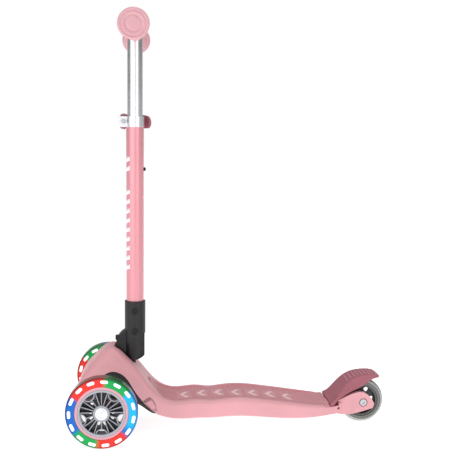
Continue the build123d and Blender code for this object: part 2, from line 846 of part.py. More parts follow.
with BuildPart() as fold_tongue:
    with BuildSketch(Plane.XZ):
        with Locations((pivot_x, pivot_h)):
            Circle(tongue_r)
        with BuildLine():
            Polyline(
                (pivot_x - 5, pivot_h - 22), (pivot_x + 22, pivot_h - 18),
                (pivot_x + 30, tongue_foot_h), (pivot_x - 4, tongue_foot_h), close=True,
            )
        make_face()
        with Locations((tbar_x - 37.0, pivot_h)):
            Rectangle(40, 90, mode=Mode.SUBTRACT)
    extrude(amount=tongue_half, both=True)
    with BuildSketch(Plane.XZ):
        with Locations((pivot_x, pivot_h)):
            Circle(pin_r + seat)
    extrude(amount=40, both=True, mode=Mode.SUBTRACT)
    with BuildSketch(Plane.YZ.offset(pivot_x + 14)):
        with Locations((0, button_h)):
            Circle(button_r + slip)
    extrude(amount=40, mode=Mode.SUBTRACT)

export(fold_tongue.part, "fold_tongue")

with BuildPart() as fold_pin:
    with BuildSketch(upright(pin_half)):
        with Locations((pivot_x, pivot_h)):
            Circle(pin_r)
    extrude(amount=2 * pin_half)

export(fold_pin.part, "fold_pin")

with BuildPart() as fold_button:
    with BuildSketch(Plane.YZ.offset(pivot_x + 14 + button_travel + slip)):
        with Locations((0, button_h)):
            Circle(button_r)
    extrude(amount=12.0)
    fillet(fold_button.edges().sort_by(Axis.X)[-1], 1.2)

export(fold_button.part, "fold_button")

with BuildPart() as fold_button_spring:
    with BuildSketch(Plane.YZ.offset(pivot_x + 14)):
        with Locations((0, button_h)):
            Circle(3.6)
            Circle(2.6, mode=Mode.SUBTRACT)
    extrude(amount=button_travel + slip)

export(fold_button_spring.part, "fold_button_spring")

# --- steering column, lower half ----------------------------------------------------------

screw_recess_r = 8.0
screw_heights = (208.0, 172.0)

with BuildPart() as fold_socket:
    with BuildSketch(Plane.XZ) as cheek:
        with BuildLine():
            back_x, front_x = tbar_x - socket_r, tbar_x + socket_r
            Line((back_x, socket_top_h), (back_x, pivot_h + 9))
            Spline(
                (back_x, pivot_h + 9), (tbar_x - 16.4, pivot_h - 1), (tbar_x - 12.4, pivot_h - 11),
                (tbar_x - 5.5, pivot_h - 21.5), (tbar_x + 3.0, pivot_h - 26.5),
                (tbar_x + 13.0, pivot_h - 21.0), (front_x, pivot_h - 6),
                tangents=[(0, -1), (0, 1)],
            )
            Line((front_x, pivot_h - 6), (front_x, socket_top_h))
            Line((front_x, socket_top_h), (back_x, socket_top_h))
        make_face()
    extrude(amount=socket_r, both=True)
    with BuildSketch(Plane.XY.offset(pivot_h - 40)):
        with Locations((tbar_x, 0)):
            Circle(socket_r)
    extrude(amount=socket_top_h - pivot_h + 60, mode=Mode.INTERSECT)
    chamfer(fold_socket.edges().group_by(Axis.Z)[-1], 0.8)
    with BuildSketch(Plane.XY.offset(tube_seat_h)):
        with Locations((tbar_x, 0)):
            Circle(lower_tube_r + seat)
    extrude(amount=80, mode=Mode.SUBTRACT)
    with BuildSketch(Plane.XZ):
        with Locations((pivot_x, pivot_h)):
            Circle(tongue_r + 1.0)
        with Locations((pivot_x, pivot_h - 20)):
            Rectangle(90, 60)
    extrude(amount=tongue_half + slip, both=True, mode=Mode.SUBTRACT)
    with BuildSketch(Plane.XZ):
        with Locations((pivot_x, pivot_h)):
            Circle(pin_r + running)
    extrude(amount=pin_half + slip, both=True, mode=Mode.SUBTRACT)
    for edge in (1, -1):
        with BuildSketch(upright(edge * (socket_r + 1))):
            with Locations(*[(tbar_x, h) for h in screw_heights]):
                Circle(screw_recess_r / 2 + 2.0)
        extrude(amount=edge * 2.6, mode=Mode.SUBTRACT)
        with BuildSketch(upright(edge * (socket_r + 1))):
            with Locations(*[(tbar_x, h) for h in screw_heights]):
                Circle(1.8)
        extrude(amount=edge * 7.6, mode=Mode.SUBTRACT)

export(fold_socket.part, "fold_socket")

with BuildPart() as socket_screws:
    for edge in (1, -1):
        for h in screw_heights:
            with BuildSketch(upright(edge * (socket_r - 1.6))):
                with Locations((tbar_x, h)):
                    Circle(4.6)
            extrude(amount=-edge * 1.4)
            with BuildSketch(upright(edge * (socket_r - 1.6))):
                with Locations((tbar_x, h)):
                    Circle(1.75)
            extrude(amount=edge * (4.7 if h == screw_heights[1] else 1.2))
            with BuildSketch(upright(edge * (socket_r - 0.2))):
                with Locations((tbar_x, h)):
                    RegularPolygon(2.2, 6)
            extrude(amount=edge * 1.0, mode=Mode.SUBTRACT)

export(socket_screws.part, "socket_screws")

snap_r = 3.2
snap_axis = Plane.YZ.offset(tbar_x)
lower_bore_r = lower_tube_r - lower_tube_wall

with BuildPart() as lower_tube:
    with BuildSketch(Plane.XY.offset(tube_seat_h + seat)):
        with Locations((tbar_x, 0)):
            Circle(lower_tube_r)
            Circle(lower_bore_r, mode=Mode.SUBTRACT)
    extrude(amount=lower_tube_top_h - tube_seat_h)
    with BuildSketch(snap_axis):
        with Locations((0, snap_h), (0, snap_h - height_step)):
            Circle(snap_r + slip)
    extrude(amount=-40, mode=Mode.SUBTRACT)

export(lower_tube.part, "lower_tube")

collar_low = lower_tube_top_h + seat
collar_h = 18.5
collar_bore = upper_tube_r + 0.1
collar_r = 16.2
ear_x = tbar_x + 20.0
ear_half = 2.0
ear_w = 6.0
clamp_bolt_h = collar_low + 10.0
guide_len = 60.0

with BuildPart() as guide_bush:
    with BuildSketch(Plane.XY.offset(lower_tube_top_h - guide_len)):
        with Locations((tbar_x, 0)):
            Circle(lower_bore_r - seat)
            Circle(upper_tube_r + running, mode=Mode.SUBTRACT)
    extrude(amount=guide_len)

export(guide_bush.part, "guide_bush")

with BuildPart() as clamp_collar:
    with BuildSketch(Plane.XY.offset(collar_low)):
        with Locations((tbar_x, 0)):
            Circle(collar_r)
        with Locations((ear_x - 4, 0)):
            Rectangle(26.0, 2 * (ear_half + ear_w))
        with Locations((tbar_x, 0)):
            Circle(collar_bore, mode=Mode.SUBTRACT)
        with Locations((ear_x, 0)):
            Rectangle(40.0, 2 * ear_half, mode=Mode.SUBTRACT)
    extrude(amount=collar_h)
    with BuildSketch(Plane.XZ):
        with Locations((ear_x, clamp_bolt_h)):
            Circle(2.5 + seat)
    extrude(amount=30, both=True, mode=Mode.SUBTRACT)

export(clamp_collar.part, "clamp_collar")

ear_face = ear_half + ear_w
cam_r = 6.0
cam_y = -ear_face - slip - cam_r

with BuildPart() as clamp_bolt:
    with BuildSketch(upright(ear_face + 4.0)):
        with Locations((ear_x, clamp_bolt_h)):
            Circle(2.5)
    extrude(amount=2 * ear_face + 4.0 + slip + 2 * cam_r + 1.0)
    with BuildSketch(Plane.XY.offset(clamp_bolt_h - 14)):
        with Locations((ear_x, cam_y)):
            Circle(2.6)
    extrude(amount=28)

export(clamp_bolt.part, "clamp_bolt")

with BuildPart() as clamp_nut:
    with BuildSketch(upright(ear_face + seat)):
        with Locations((ear_x, clamp_bolt_h)):
            RegularPolygon(4.6, 6)
            Circle(2.5 + seat, mode=Mode.SUBTRACT)
    extrude(amount=-4.0)

export(clamp_nut.part, "clamp_nut")

lever_low = clamp_bolt_h - 12.5
lever_h = 25.0
lever_t = 3.5

with BuildPart() as clamp_lever:
    with BuildSketch(Plane.XY.offset(lever_low)):
        with BuildLine() as lever_line:
            Spline(
                (ear_x, cam_y - 2.0), (tbar_x + 8.0, -21.5), (tbar_x - 6.0, -22.0),
                (tbar_x - 19.0, -17.0), (tbar_x - 26.5, -7.0),
            )
        trace(lever_line.line, line_width=lever_t)
        with Locations((ear_x, cam_y)):
            Circle(cam_r)
            Circle(2.6 + running, mode=Mode.SUBTRACT)
    extrude(amount=lever_h)
    with BuildSketch(upright(0)):
        with Locations((ear_x, clamp_bolt_h)):
            Rectangle(14.0, 6.0)
    extrude(amount=40, mode=Mode.SUBTRACT)

export(clamp_lever.part, "clamp_lever")

# --- steering column, upper half -------------------------------------------------------------

upper_bore_r = upper_tube_r - upper_tube_wall

with BuildPart() as upper_tube:
    with BuildSketch(Plane.XY.offset(upper_tube_low_h)):
        with Locations((tbar_x, 0)):
            Circle(upper_tube_r)
            Circle(upper_bore_r, mode=Mode.SUBTRACT)
    extrude(amount=bar_h - upper_tube_low_h)
    with BuildSketch(snap_axis):
        with Locations((0, snap_h)):
            SlotCenterToCenter(2 * height_step, 2 * (snap_r + slip), rotation=90)
    extrude(amount=-40, mode=Mode.SUBTRACT)
    with BuildSketch(Plane.XZ):
        with Locations((tbar_x, bar_h)):
            Circle(bar_r + seat)
    extrude(amount=40, both=True, mode=Mode.SUBTRACT)

export(upper_tube.part, "upper_tube")

plug_len = 9.0
with BuildPart() as handlebar_tube:
    with BuildSketch(upright(bar_half_w - plug_len)):
        with Locations((tbar_x, bar_h)):
            Circle(bar_r)
            Circle(bar_r - 1.5, mode=Mode.SUBTRACT)
    extrude(amount=2 * (bar_half_w - plug_len))

export(handlebar_tube.part, "handlebar_tube")


def grip(side):
    """Soft grip with ribs and a wide safety disc at the bar's end."""
    axis = Axis((tbar_x, 0, bar_h), (0, 1, 0))
    inner_end = upper_tube_r + 4.0
    with BuildPart() as handle:
        with BuildSketch(Plane.YZ.offset(tbar_x)):
            with BuildLine():
                Polyline(
                    (side * inner_end, bar_h), (side * inner_end, bar_h + grip_r + 1.5),
                    (side * (inner_end + 5), bar_h + grip_r + 1.5),
                    (side * (inner_end + 8), bar_h + grip_r),
                    (side * (bar_half_w - 14), bar_h + grip_r),
                    (side * (bar_half_w - 8), bar_h + grip_disc_r - 3.0),
                    (side * (bar_half_w - 6), bar_h + grip_disc_r),
                    (side * (bar_half_w - 1.5), bar_h + grip_disc_r),
                    (side * bar_half_w, bar_h + grip_disc_r - 2.0),
                    (side * bar_half_w, bar_h), close=True,
                )
            make_face()
        revolve(axis=axis)
        with BuildSketch(upright(side * (bar_half_w - plug_len + seat))):
            with Locations((tbar_x, bar_h)):
                Circle(bar_r + seat)
        extrude(amount=side * 200, mode=Mode.SUBTRACT)
    return handle.part


for side, hand in ((1, "left"), (-1, "right")):
    export(grip(side), f"{hand}_grip")

# --- snap button -------------------------------------------------------------------------------

with BuildPart() as snap_button:
    with BuildSketch(snap_axis.offset(-upper_bore_r + 2.0)):
        with Locations((0, snap_h)):
            Circle(snap_r)
    extrude(amount=-(lower_tube_r - upper_bore_r + 2.0 + 3.4))
    fillet(snap_button.edges().sort_by(Axis.X)[0], 1.5)

export(snap_button.part, "snap_button")

with BuildPart() as snap_spring:
    with BuildSketch(Plane.XZ):
        with BuildLine():
            Polyline(
                (tbar_x - upper_bore_r + 2.3, snap_h + 4), (tbar_x - upper_bore_r + 2.9, snap_h + 4),
                (tbar_x - upper_bore_r + 2.9, snap_h - 15), (tbar_x - 1.0, snap_h - 24.0),
                (tbar_x + upper_bore_r - 1.5, snap_h - 16), (tbar_x + upper_bore_r - 1.5, snap_h),
                (tbar_x + upper_bore_r - 2.1, snap_h), (tbar_x + upper_bore_r - 2.1, snap_h - 15.6),
                (tbar_x - 1.0, snap_h - 23.2), (tbar_x - upper_bore_r + 2.3, snap_h - 14.6),
                close=True,
            )
        make_face()
    extrude(amount=3.0, both=True)

export(snap_spring.part, "snap_spring")
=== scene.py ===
from math import cos, pi, radians, sin

import bmesh
import bpy
from mathutils import Matrix, Vector
from mathutils.bvhtree import BVHTree


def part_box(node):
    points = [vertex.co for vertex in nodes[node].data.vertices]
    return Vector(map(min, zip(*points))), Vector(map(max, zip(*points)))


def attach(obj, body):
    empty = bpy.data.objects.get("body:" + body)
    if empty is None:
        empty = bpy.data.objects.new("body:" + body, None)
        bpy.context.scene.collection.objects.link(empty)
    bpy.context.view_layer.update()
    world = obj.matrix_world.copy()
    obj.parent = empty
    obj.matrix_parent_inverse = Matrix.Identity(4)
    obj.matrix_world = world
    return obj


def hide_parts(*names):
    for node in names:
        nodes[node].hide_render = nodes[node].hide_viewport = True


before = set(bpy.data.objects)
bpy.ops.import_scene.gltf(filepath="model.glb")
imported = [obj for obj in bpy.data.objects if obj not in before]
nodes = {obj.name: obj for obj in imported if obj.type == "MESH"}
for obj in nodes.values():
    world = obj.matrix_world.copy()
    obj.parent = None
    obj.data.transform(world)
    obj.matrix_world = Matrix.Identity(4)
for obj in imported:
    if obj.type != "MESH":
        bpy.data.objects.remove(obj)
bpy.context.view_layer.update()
scene = bpy.context.scene
MM = 0.001


# --- places, read from the frame ---------------------------------------------------


def middle(node):
    """Middle of a node's box."""
    low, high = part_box(node)
    return (low + high) / 2


def half_size(node):
    """Half of a node's box along each axis."""
    low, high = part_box(node)
    return (high - low) / 2


front_wheels = {hand: middle(f"{hand}_front_tyre") for hand in ("left", "right")}
front_r = half_size("left_front_tyre").z
rear_wheel = middle("rear_tyre")
bar = middle("handlebar_tube")
column_x = middle("lower_tube").x
lower_tube_r = half_size("lower_tube").x


# --- camera, light and floor ----------------------------------------------------------

CAMERA_AT = Vector((138.6, 1569.9, 513.6)) * MM
CAMERA_YAW = radians(4.683)
CAMERA_PITCH = radians(5.588)
CAMERA_ROLL = radians(0.543)
CAMERA_LENS = 71.1            # millimetres, on a 36 mm frame
SENSOR_WIDTH = 36.0
WHITE = (1.0, 1.0, 1.0, 1.0)
AIM = (0.05, 0.0, 0.35)       # what the lamps point at
FLOOR_SIZE = 60.0


def make_camera():
    """Camera fitted to the photograph's view."""
    ahead = Vector((
        -sin(CAMERA_YAW) * cos(CAMERA_PITCH),
        -cos(CAMERA_YAW) * cos(CAMERA_PITCH),
        -sin(CAMERA_PITCH),
    ))
    level = Vector((-cos(CAMERA_YAW), sin(CAMERA_YAW), 0.0))
    turn = Matrix.Rotation(-CAMERA_ROLL, 3, ahead)
    right = turn @ level
    up = right.cross(ahead)
    data = bpy.data.cameras.new("camera")
    data.lens = CAMERA_LENS
    data.sensor_width = SENSOR_WIDTH
    camera = bpy.data.objects.new("camera", data)
    scene.collection.objects.link(camera)
    axes = Matrix((right, up, -ahead)).transposed()
    camera.matrix_world = Matrix.Translation(CAMERA_AT) @ axes.to_4x4()
    scene.camera = camera


def area_light(name, at, size, power):
    """White rectangular lamp that faces the scooter."""
    data = bpy.data.lights.new(name, "AREA")
    data.shape = "RECTANGLE"
    data.size, data.size_y = size
    data.energy = power
    light = bpy.data.objects.new(name, data)
    scene.collection.objects.link(light)
    light.location = at
    light.rotation_euler = (Vector(AIM) - Vector(at)).to_track_quat("-Z", "Y").to_euler()


def make_studio():
    """White surroundings with dark flags at both ends, three soft boxes and a white floor."""
    world = bpy.data.worlds.new("studio")
    world.use_nodes = True
    tree = world.node_tree
    sky = tree.nodes["Background"]
    seen = tree.nodes.new("ShaderNodeBackground")
    seen.inputs["Strength"].default_value = 1.0
    seen.inputs["Color"].default_value = WHITE
    sky.inputs["Color"].default_value = WHITE
    towards = tree.nodes.new("ShaderNodeSeparateXYZ")
    sideways = tree.nodes.new("ShaderNodeMath")
    sideways.operation = "ABSOLUTE"
    flags = tree.nodes.new("ShaderNodeMapRange")
    fade = {"From Min": 0.45, "From Max": 0.95, "To Min": 0.5, "To Max": 0.1}
    for socket, value in fade.items():
        flags.inputs[socket].default_value = value
    place = tree.nodes.new("ShaderNodeTexCoord").outputs["Generated"]
    tree.links.new(place, towards.inputs[0])
    tree.links.new(towards.outputs[0], sideways.inputs[0])
    tree.links.new(sideways.outputs[0], flags.inputs[0])
    tree.links.new(flags.outputs[0], sky.inputs["Strength"])
    path = tree.nodes.new("ShaderNodeLightPath")
    either = tree.nodes.new("ShaderNodeMixShader")
    tree.links.new(path.outputs["Is Camera Ray"], either.inputs[0])
    tree.links.new(sky.outputs[0], either.inputs[1])
    tree.links.new(seen.outputs[0], either.inputs[2])
    tree.links.new(either.outputs[0], tree.nodes["World Output"].inputs["Surface"])
    scene.world = world
    scene.view_settings.view_transform = "Standard"
    area_light("key", (1.3, 1.55, 0.95), (2.3, 1.8), 16.0)
    area_light("fill", (-1.1, 1.9, 0.7), (1.1, 1.2), 5.5)
    area_light("top", (-0.2, -0.2, 1.9), (1.4, 1.4), 11.0)
    bpy.ops.mesh.primitive_plane_add(size=FLOOR_SIZE)
    floor = bpy.context.object
    floor.name = "floor"
    material = bpy.data.materials.new("floor_white")
    material.use_nodes = True
    shader = material.node_tree.nodes["Principled BSDF"]
    shader.inputs["Base Color"].default_value = (0.5, 0.5, 0.5, 1.0)
    shader.inputs["Roughness"].default_value = 0.9
    shader.inputs["Emission Color"].default_value = WHITE
    shader.inputs["Emission Strength"].default_value = 0.84
    floor.data.materials.append(material)


# --- materials --------------------------------------------------------------------------


def linear(*rgb):
    """An sRGB colour, 0 to 255, as Blender's linear values."""
    out = []
    for value in rgb:
        c = value / 255.0
        out.append(c / 12.92 if c <= 0.04045 else ((c + 0.055) / 1.055) ** 2.4)
    return (*out, 1.0)


EDGE_RADIUS = 0.6 * MM


class Finish:
    """A principled material and the few kinds of node that the finishes share."""

    def __init__(self, name, roughness=0.45, **sockets):
        self.material = bpy.data.materials.new(name)
        self.material.use_nodes = True
        self.tree = self.material.node_tree
        self.shader = self.tree.nodes["Principled BSDF"]
        self.shader.inputs["Roughness"].default_value = roughness
        for socket, value in sockets.items():
            self.shader.inputs[socket.replace("_", " ")].default_value = value
        self.place = self.tree.nodes.new("ShaderNodeTexCoord").outputs["Object"]

    def node(self, kind, **settings):
        """A new node with its settings."""
        made = self.tree.nodes.new(kind)
        for key, value in settings.items():
            setattr(made, key, value)
        return made

    def link(self, start, end):
        self.tree.links.new(start, end)

    def maths(self, operation, a, b=0.0):
        """A maths node: a and b are numbers or outputs."""
        made = self.node("ShaderNodeMath", operation=operation)
        for socket, value in zip(made.inputs, (a, b)):
            if isinstance(value, (int, float)):
                socket.default_value = value
            else:
                self.link(value, socket)
        return made.outputs[0]

    def axes(self):
        """The place's x, y and z."""
        parts = self.node("ShaderNodeSeparateXYZ")
        self.link(self.place, parts.inputs[0])
        return parts.outputs

    def length(self, a, b):
        """Distance from two legs at a right angle."""
        squares = [self.maths("MULTIPLY", leg, leg) for leg in (a, b)]
        return self.maths("SQRT", self.maths("ADD", *squares))

    def noise(self, scale, detail=2.0, stretch=None):
        """Noise at a scale per metre, drawn out along an axis by stretch."""
        made = self.node("ShaderNodeTexNoise")
        made.inputs["Scale"].default_value = scale
        made.inputs["Detail"].default_value = detail
        place = self.place
        if stretch:
            mapping = self.node("ShaderNodeMapping")
            mapping.inputs["Scale"].default_value = stretch
            self.link(place, mapping.inputs["Vector"])
            place = mapping.outputs[0]
        self.link(place, made.inputs["Vector"])
        return made.outputs[0]

    def ramp(self, factor, stops):
        """Colours at their stops along a factor."""
        made = self.node("ShaderNodeValToRGB")
        points = made.color_ramp.elements
        while len(points) < len(stops):
            points.new(0.5)
        for point, (at, colour) in zip(points, stops):
            point.position = at
            point.color = colour
        self.link(factor, made.inputs[0])
        return made.outputs[0]

    def mix(self, factor, a, b):
        """From colour a to colour b by a factor."""
        made = self.node("ShaderNodeMix", data_type="RGBA")
        self.link(factor, made.inputs[0])
        for socket, value in ((made.inputs[6], a), (made.inputs[7], b)):
            if isinstance(value, tuple):
                socket.default_value = value
            else:
                self.link(value, socket)
        return made.outputs[2]

    def colour(self, output):
        self.link(output, self.shader.inputs["Base Color"])

    def rough(self, factor, low, high):
        """Roughness that wanders between two values."""
        spread = self.node("ShaderNodeMapRange")
        spread.inputs["To Min"].default_value = low
        spread.inputs["To Max"].default_value = high
        self.link(factor, spread.inputs[0])
        self.link(spread.outputs[0], self.shader.inputs["Roughness"])

    def bump(self, height, depth, strength=0.5):
        """Fine relief, over edges that catch the light as if rounded."""
        round_edge = self.node("ShaderNodeBevel", samples=4)
        round_edge.inputs["Radius"].default_value = EDGE_RADIUS
        made = self.node("ShaderNodeBump")
        self.link(round_edge.outputs[0], made.inputs["Normal"])
        made.inputs["Strength"].default_value = strength
        made.inputs["Distance"].default_value = depth
        self.link(height, made.inputs["Height"])
        self.link(made.outputs[0], self.shader.inputs["Normal"])

    def edges(self, base, worn, amount=0.5):
        """Colour that turns a little paler or darker along the piece's edges."""
        geometry = self.node("ShaderNodeNewGeometry")
        mask = self.ramp(
            geometry.outputs["Pointiness"],
            [(0.5, (0, 0, 0, 1)), (0.62, (amount, amount, amount, 1))],
        )
        return self.mix(mask, base, worn)


def shade(colour, k):
    """A colour made k times as bright."""
    return (*[min(1.0, c * k) for c in colour[:3]], 1.0)


def moulded(name, colour, roughness=0.42, grain=1100.0, depth=0.00012, spread=0.08, **sockets):
    """Injection-moulded plastic: fine grain, faint flow marks and paler edges."""
    finish = Finish(name, roughness, **sockets)
    cloud = finish.noise(14.0, 3.0)
    body = finish.ramp(
        cloud, [(0.3, shade(colour, 1.0 - spread)), (0.7, shade(colour, 1.0 + spread * 0.5))]
    )
    finish.colour(finish.edges(body, shade(colour, 1.18), 0.4))
    finish.rough(finish.noise(60.0, 4.0), roughness - 0.06, roughness + 0.08)
    finish.bump(finish.noise(grain, 2.0), depth, 0.35)
    return finish.material


def metal(name, colour, roughness, stretch, scuff=0.05, depth=0.00001):
    """Drawn or turned metal: fine lines along the draw, soft smears across it."""
    finish = Finish(name, roughness, Metallic=1.0)
    lines = finish.noise(900.0, 3.0, stretch)
    finish.colour(finish.ramp(lines, [(0.3, shade(colour, 0.93)), (0.7, shade(colour, 1.04))]))
    finish.rough(finish.noise(40.0, 4.0), roughness - scuff, roughness + scuff)
    finish.bump(lines, depth, 0.15)
    return finish.material


def enamel(name, colour):
    """Powder-coated tube: clear gloss over faint orange peel."""
    finish = Finish(name, 0.3, Metallic=0.45, Coat_Weight=0.7, Coat_Roughness=0.25)
    cloud = finish.noise(20.0, 2.0)
    body = finish.ramp(cloud, [(0.3, shade(colour, 0.96)), (0.7, shade(colour, 1.03))])
    finish.colour(finish.edges(body, shade(colour, 1.2), 0.3))
    finish.rough(finish.noise(90.0, 4.0), 0.3, 0.42)
    finish.bump(finish.noise(420.0, 1.0), 0.00004, 0.2)
    return finish.material


def print_with_painted_glow(name, colour):
    """Opaque ink laid on by screen printing: flat and matt, a little uneven in cover, with a faint
    painted glow that keeps it white where shade falls.
    """
    # Painted glow: the ink gives off a little light of its own, so that it stays white in shade.
    finish = Finish(name, 0.7, Emission_Color=colour, Emission_Strength=0.45)
    cover = finish.noise(300.0, 3.0)
    finish.colour(finish.ramp(cover, [(0.3, shade(colour, 0.95)), (0.7, colour)]))
    finish.rough(cover, 0.6, 0.8)
    finish.bump(finish.noise(900.0, 2.0), 0.00001, 0.2)
    return finish.material


def soft(name, colour, roughness=0.6, depth=0.00015):
    """Soft thermoplastic rubber: matt skin with a fine stipple and a faint glow."""
    finish = Finish(
        name, roughness, Subsurface_Weight=0.12, Subsurface_Scale=0.004,
        Sheen_Weight=0.25, Sheen_Roughness=0.5,
    )
    cloud = finish.noise(22.0, 3.0)
    finish.colour(finish.ramp(cloud, [(0.3, shade(colour, 0.94)), (0.7, shade(colour, 1.04))]))
    finish.rough(finish.noise(70.0, 3.0), roughness - 0.08, roughness + 0.08)
    finish.bump(finish.noise(1500.0, 2.0), depth, 0.35)
    return finish.material


RED = linear(222, 42, 32)
GREEN = linear(0, 158, 74)
BLUE = linear(0, 96, 186)
CYAN = linear(0, 172, 236)
# Painted shade laid over the front tyres' rounded rim.
RIM_PAINTED_SHADE = (0.25, 0.25, 0.32, 1.0)


def lit_tyre(name, centre, turn):
    """Translucent tyre with coloured stretches round it, as its lamps show, and painted shade
    darkening its rounded rim.
    """
    finish = Finish(name, 0.3, Coat_Weight=0.2, Coat_Roughness=0.08, Specular_IOR_Level=0.3)
    x, _, z = finish.axes()
    ahead = finish.maths("SUBTRACT", centre.x, x)
    down = finish.maths("SUBTRACT", centre.z, z)
    angle = finish.maths("ARCTAN2", down, ahead)
    share = finish.maths("ADD", finish.maths("DIVIDE", angle, 2 * pi), 0.5 + turn)
    share = finish.maths("FRACT", share)
    around = [
        (0.0, BLUE), (0.07, BLUE), (0.09, RED), (0.255, RED), (0.275, GREEN), (0.385, GREEN),
        (0.405, CYAN), (0.56, CYAN), (0.61, BLUE), (0.63, RED), (0.76, RED), (0.785, GREEN),
        (0.885, GREEN), (0.91, BLUE), (1.0, BLUE),
    ]
    tint = finish.ramp(share, around)
    span = finish.length(ahead, down)
    # Painted shade: the tint darkens towards the tyre's rounded outer edge.
    rim_shade_mask = finish.node("ShaderNodeMapRange")
    rim_shade_mask.inputs["From Min"].default_value = front_r * 0.93
    rim_shade_mask.inputs["From Max"].default_value = front_r * 0.99
    finish.link(span, rim_shade_mask.inputs[0])
    dark = finish.node("ShaderNodeMix", data_type="RGBA", blend_type="MULTIPLY")
    finish.link(rim_shade_mask.outputs[0], dark.inputs[0])
    finish.link(tint, dark.inputs[6])
    dark.inputs[7].default_value = RIM_PAINTED_SHADE
    finish.colour(dark.outputs[2])
    finish.link(dark.outputs[2], finish.shader.inputs["Emission Color"])
    finish.shader.inputs["Emission Strength"].default_value = 0.28
    finish.rough(finish.noise(80.0, 3.0), 0.16, 0.34)
    finish.bump(finish.noise(500.0, 2.0), 0.0001, 0.2)
    return finish.material


def lamp(name):
    """Lit light guide: white with a faintly uneven glow."""
    finish = Finish(name, 0.3)
    glow = finish.ramp(
        finish.noise(160.0, 2.0), [(0.3, (0.86, 0.9, 0.95, 1)), (0.7, (1.0, 1.0, 1.0, 1))]
    )
    finish.colour(glow)
    finish.link(glow, finish.shader.inputs["Emission Color"])
    finish.shader.inputs["Emission Strength"].default_value = 0.7
    finish.bump(finish.noise(700.0, 1.0), 0.00005, 0.2)
    return finish.material


def clear_tyre(name, centre, radius):
    """Grey translucent tyre: pale bands round a darker core."""
    finish = Finish(name, 0.14, Coat_Weight=0.6, Coat_Roughness=0.05)
    x, _, z = finish.axes()
    dx = finish.maths("SUBTRACT", x, centre.x)
    dz = finish.maths("SUBTRACT", z, centre.z)
    span = finish.length(dx, dz)
    share = finish.maths("DIVIDE", span, radius)
    finish.colour(finish.ramp(share, [
        (0.72, linear(70, 72, 70)), (0.78, linear(120, 124, 120)), (0.84, linear(84, 86, 84)),
        (0.91, linear(190, 194, 190)), (0.96, linear(150, 154, 150)), (1.0, linear(84, 86, 84)),
    ]))
    finish.rough(finish.noise(60.0, 3.0), 0.1, 0.24)
    finish.bump(finish.noise(300.0, 2.0), 0.0001, 0.2)
    return finish.material


def recess_shaded_core(name, centre, pale, dark, face, recess):
    """Wheel core: pale on its raised ribs, with painted shade darkening it by depth into its
    recesses.
    """
    finish = Finish(name, 0.34)
    _, y, _ = finish.axes()
    depth = finish.maths("ABSOLUTE", finish.maths("SUBTRACT", y, centre.y))
    level = finish.node("ShaderNodeMapRange")
    level.inputs["From Min"].default_value = recess
    level.inputs["From Max"].default_value = face
    finish.link(depth, level.inputs[0])
    # Painted shade: the colour darkens towards the recesses, as if shade fell there.
    shaded_by_depth = finish.ramp(level.outputs[0], [(0.0, dark), (1.0, pale)])
    finish.colour(finish.edges(shaded_by_depth, shade(pale, 1.25), 0.5))
    finish.rough(finish.noise(80.0, 3.0), 0.26, 0.42)
    finish.bump(finish.noise(1300.0, 2.0), 0.0001, 0.3)
    return finish.material


PINK = linear(228, 164, 171)
PINK_DEEP = linear(225, 150, 160)
ROSE = linear(208, 142, 150)
ROSE_DARK = linear(164, 92, 106)
PALE_PINK = linear(246, 206, 210)
BLACK = linear(20, 20, 21)

look = {
    "deck": moulded("pink_plastic", PINK, 0.4, Coat_Weight=0.15, Coat_Roughness=0.3),
    "tread": soft("rose_rubber", ROSE, 0.72),
    "mark": soft("pale_pink_rubber", PALE_PINK, 0.6),
    "brake": moulded("rose_plastic", ROSE_DARK, 0.5, 900.0, 0.00018, 0.1),
    "brake_pip": moulded("rose_pip", linear(200, 138, 150), 0.5, 900.0, 0.0001),
    "black": moulded("black_plastic", BLACK, 0.42, 1400.0, 0.00015, 0.12),
    "steel": metal("zinc_steel", linear(200, 202, 206), 0.32, (1.0, 0.08, 1.0)),
    "dark": metal("black_oxide", linear(52, 52, 56), 0.4, (1.0, 1.0, 1.0)),
    "silver": metal(
        "drawn_aluminium", linear(240, 241, 243), 0.3, (1.0, 1.0, 0.004), depth=0.000003
    ),
    "collar": metal("cast_aluminium", linear(236, 237, 240), 0.36, (0.2, 1.0, 1.0)),
    "paint": enamel("pink_enamel", PINK_DEEP),
    "grip": soft("pink_grip", linear(220, 166, 174), 0.32, 0.00008),
    "lamp": lamp("lit_window"),
    "ring": moulded("pink_ring", linear(226, 168, 180), 0.36, 1200.0, 0.0001, 0.05),
    "copper": metal("coil", linear(150, 84, 52), 0.5, (1.0, 12.0, 1.0)),
    "knuckle": moulded("grey_nylon", linear(60, 61, 64), 0.5, 1000.0, 0.00015),
    "print": print_with_painted_glow("white_print_painted_glow", linear(250, 246, 246)),
}


def dress(finish, *names):
    """Gives nodes one finish."""
    for name in names:
        slots = nodes[name].data.materials
        slots.clear()
        slots.append(finish)


LAMP_TURN = 60.0 / 360.0      # how far the far wheel's colours are turned round


